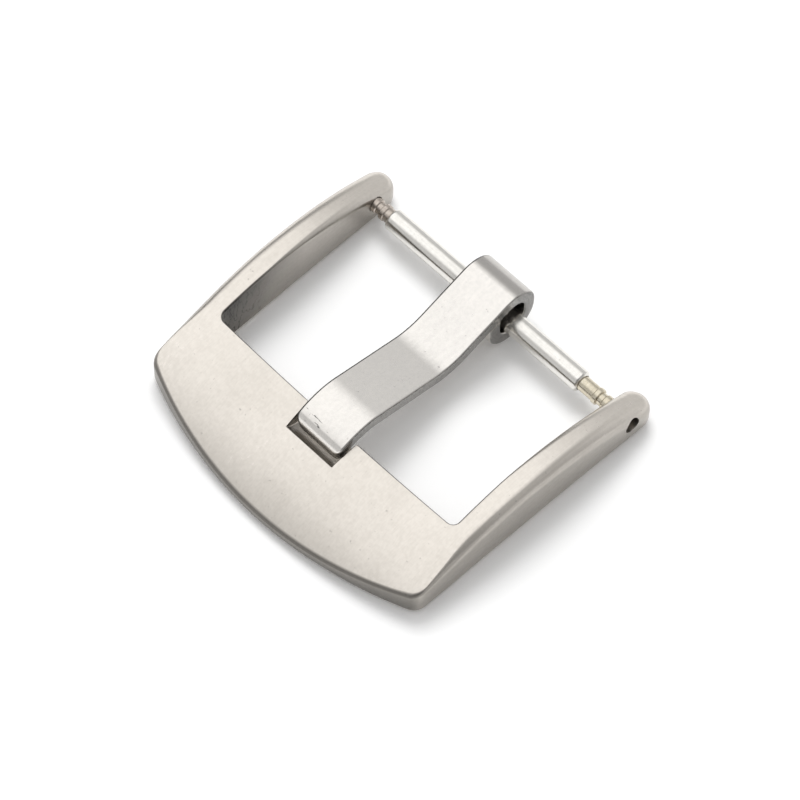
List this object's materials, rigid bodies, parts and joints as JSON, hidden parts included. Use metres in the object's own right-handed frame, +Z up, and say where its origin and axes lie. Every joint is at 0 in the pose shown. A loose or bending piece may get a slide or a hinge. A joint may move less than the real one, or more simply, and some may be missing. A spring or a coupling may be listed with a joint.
{
  "type": "watch strap pin buckle",
  "caption": "Steel pin buckle for a watch strap: arched open frame, rolled tongue resting in a front notch, and a sprung bar across the arms.",
  "frame": {"origin": "under the middle of the buckle, on the plane of its lowest faces, halfway between the front edge and the rear ends of the arms", "axes": "+X along the spring bar to the right arm, +Y from the front edge towards the strap, +Z up from the wrist side to the crown of the frame"},
  "size_m": [0.0242, 0.0222, 0.0043],
  "materials": {
    "frame_steel": "finely brushed along the arms, edges softened",
    "tongue_steel": "satin, lightly polished",
    "bar_steel": "turned and bright",
    "plunger_steel": "turned, slightly warm in tone",
    "spring_steel": "drawn wire"
  },
  "bodies": {
    "frame": {"frame": "frame_steel"},
    "tongue": {"tongue": "tongue_steel"},
    "bar_tube": {"bar_tube": "bar_steel", "coil_spring": "spring_steel"},
    "left_plunger": {"left_plunger": "plunger_steel"},
    "right_plunger": {"right_plunger": "plunger_steel"}
  },
  "joints": [
    {"name": "tongue_swing", "type": "hinge", "parent": "frame", "child": "tongue", "pos_m": [0, 0.00898, 0.00175], "axis": [-1, 0, 0], "range_deg": [0, 180]},
    {"name": "bar_spin", "type": "hinge", "parent": "frame", "child": "bar_tube", "pos_m": [0, 0.00898, 0.00175], "axis": [1, 0, 0], "continuous": true},
    {"name": "left_press", "type": "slide", "parent": "bar_tube", "child": "left_plunger", "axis": [1, 0, 0], "range_m": [0, 0.00035], "stiffness_N_per_m": 400, "springref_m": -0.0025, "deforming": ["coil_spring"]},
    {"name": "right_press", "type": "slide", "parent": "bar_tube", "child": "right_plunger", "axis": [-1, 0, 0], "range_m": [0, 0.00108], "stiffness_N_per_m": 400, "springref_m": -0.0025, "deforming": ["coil_spring"]}
  ]
}
